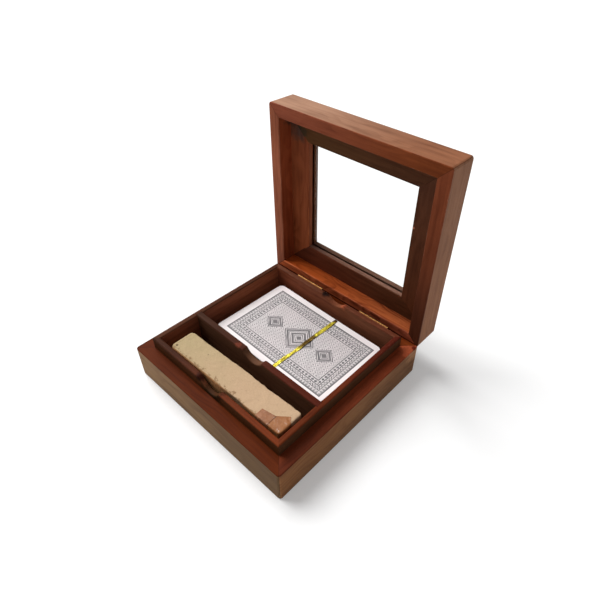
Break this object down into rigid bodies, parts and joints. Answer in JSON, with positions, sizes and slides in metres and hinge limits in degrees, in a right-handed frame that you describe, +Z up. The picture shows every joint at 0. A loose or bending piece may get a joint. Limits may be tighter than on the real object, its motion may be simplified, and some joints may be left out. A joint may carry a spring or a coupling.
{
  "type": "playing card box",
  "caption": "Square hardwood box for playing cards, its glazed lid standing open on two brass hinges, with a raised liner, two compartments, a tied card pack and a paper packet.",
  "frame": {"origin": "centre of the base's underside", "axes": "+X along the hinge line, to the right seen from the front; -Y is the front; +Z up"},
  "size_m": [0.123, 0.136, 0.1391],
  "materials": {
    "case_wood": "oiled hardwood, satin",
    "liner_wood": "oiled hardwood, satin",
    "window_wood": "oiled hardwood, satin",
    "glass": "clear, polished",
    "brass": "brushed",
    "nail_brass": "brushed",
    "card_edges": "matt, stacked card edges",
    "card_back": "printed in dark grey on white, satin",
    "ribbon": "metallic gold",
    "kraft_paper": "creased wrapping paper, matt",
    "tape": "clear brown packing tape"
  },
  "bodies": {
    "base": {"bottom_board": "liner_wood", "divider": "liner_wood", "base_front_rail": "case_wood", "base_back_rail": "case_wood", "base_left_rail": "case_wood", "base_right_rail": "case_wood", "liner_front": "liner_wood", "liner_back": "liner_wood", "liner_left": "liner_wood", "liner_right": "liner_wood", "hinge_left_base_leaf": "brass", "hinge_right_base_leaf": "brass", "hinge_left_pin": "brass", "hinge_right_pin": "brass", "base_hinge_nails": "nail_brass"},
    "lid": {"lid_front_rail": "case_wood", "lid_back_rail": "case_wood", "lid_left_rail": "case_wood", "lid_right_rail": "case_wood", "window_front_rail": "window_wood", "window_back_rail": "window_wood", "window_left_rail": "window_wood", "window_right_rail": "window_wood", "glazing_bead_front": "window_wood", "glazing_bead_back": "window_wood", "glazing_bead_left": "window_wood", "glazing_bead_right": "window_wood", "glass_pane": "glass", "hinge_left_lid_leaf": "brass", "hinge_right_lid_leaf": "brass", "lid_hinge_nails": "nail_brass"},
    "cards": {"card_pack": "card_edges", "top_card": "card_back", "pack_ribbon": "ribbon"},
    "packet": {"paper_packet": "kraft_paper", "packet_tape": "tape"}
  },
  "joints": [
    {"name": "lid_hinge", "type": "hinge", "parent": "base", "child": "lid", "pos_m": [0, 0.0575, 0.0226], "axis": [1, 0, 0], "range_deg": [0, 90]},
    {"name": "card_lift", "type": "slide", "parent": "base", "child": "cards", "axis": [0, 0, 1], "range_m": [0, 0.012]},
    {"name": "packet_lift", "type": "slide", "parent": "base", "child": "packet", "axis": [0, 0, 1], "range_m": [0, 0.0025]}
  ]
}
